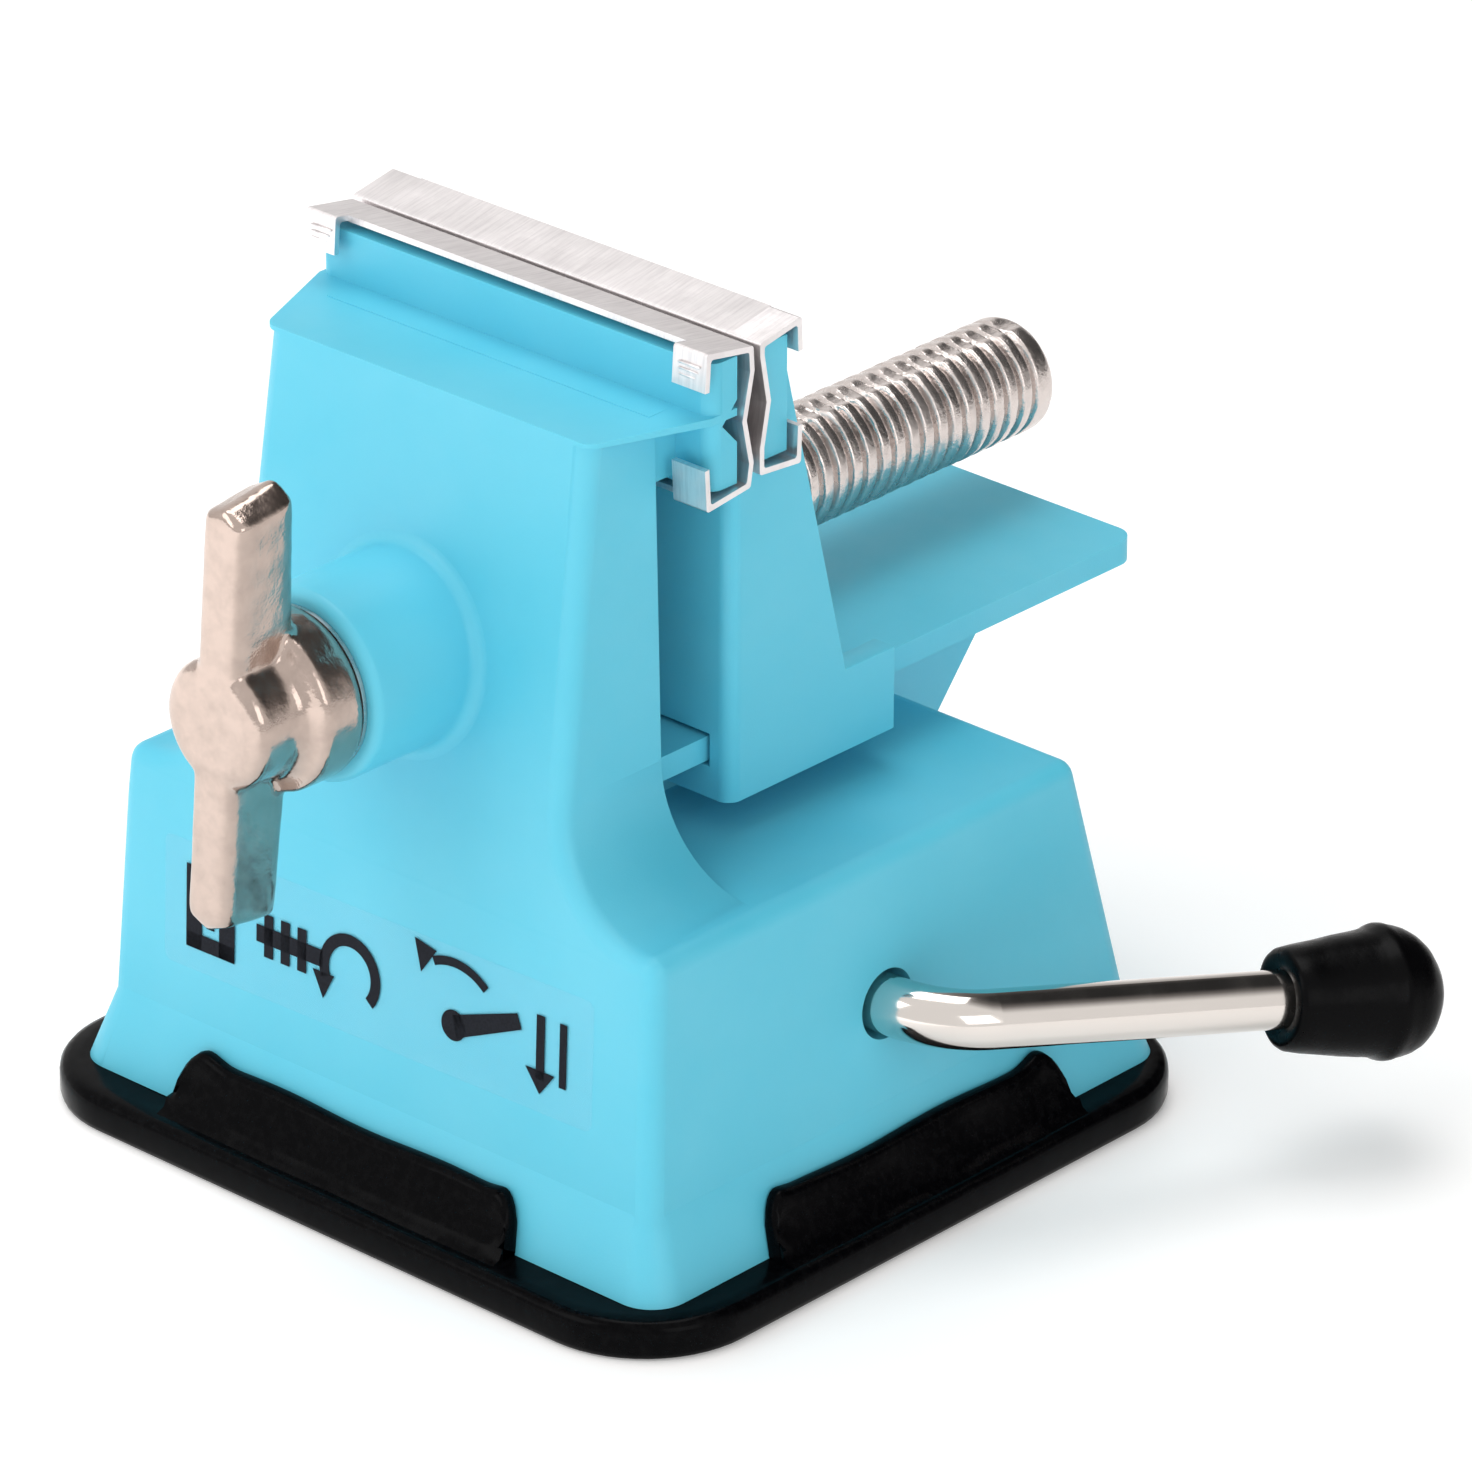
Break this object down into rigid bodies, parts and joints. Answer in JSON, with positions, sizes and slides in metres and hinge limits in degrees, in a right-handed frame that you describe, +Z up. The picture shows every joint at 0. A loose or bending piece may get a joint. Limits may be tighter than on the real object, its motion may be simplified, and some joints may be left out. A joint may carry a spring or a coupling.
{
  "type": "circuit board vise",
  "caption": "Small bench vise on a suction base: wing-handled screw closes grooved sheet-metal jaws on a circuit board's edge; a cam lever grips the bench.",
  "frame": {"origin": "centre of the suction pad's flat underside, which rests on the bench", "axes": "+Z up; -Y towards the wing handle and fixed jaw; +Y the way the moving jaw slides to open; +X along the jaws towards the suction lever"},
  "size_m": [0.074, 0.075, 0.061],
  "materials": {
    "blue_abs": "fine satin moulded",
    "cast_nickel": "nickel-plated die casting, slightly rough",
    "sheet_aluminium": "satin, pressed",
    "black_rubber": "glossy",
    "black_grip": "glossy",
    "bright_steel": "bright plated",
    "zinc_steel": "zinc plated",
    "white_acetal": "natural acetal",
    "clear_film": "clear glossy film with one dark pictogram"
  },
  "bodies": {
    "base": {"body_housing": "blue_abs", "fixed_jaw_liner": "sheet_aluminium", "collar_washer": "zinc_steel", "wall_washer": "zinc_steel", "near_bush": "white_acetal", "far_bush": "white_acetal", "suction_pad": "black_rubber", "label_film": "clear_film"},
    "screw": {"clamp_screw": "cast_nickel", "screw_clip": "zinc_steel"},
    "jaw": {"moving_jaw": "blue_abs", "moving_jaw_liner": "sheet_aluminium", "jaw_nut": "zinc_steel"},
    "lever": {"lever_rod": "bright_steel", "lever_knob": "black_grip", "eccentric_cam": "white_acetal", "cam_pin": "zinc_steel", "shaft_washer": "zinc_steel", "shaft_clip": "zinc_steel"},
    "stem": {"suction_stem": "white_acetal", "pad_plate": "zinc_steel", "stem_rivet": "zinc_steel"}
  },
  "joints": [
    {"name": "screw_turn", "type": "hinge", "parent": "base", "child": "screw", "pos_m": [0, 0, 0.0391], "axis": [0, -1, 0], "range_deg": [0, 6480]},
    {"name": "jaw_slide", "type": "slide", "parent": "base", "child": "jaw", "axis": [0, 1, 0], "range_m": [0, 0.0253]},
    {"name": "lever_turn", "type": "hinge", "parent": "base", "child": "lever", "pos_m": [0, 0, 0.0148], "axis": [1, 0, 0], "range_deg": [0, 180]},
    {"name": "stem_lift", "type": "slide", "parent": "base", "child": "stem", "axis": [0, 0, 1], "range_m": [0, 0.00251]}
  ],
  "couplings": [
    {"joint": "jaw_slide", "follows": "screw_turn", "m_per_rad": 0.00022282},
    {"joint": "stem_lift", "follows": "lever_turn", "m_per_rad": 0.00079577}
  ]
}
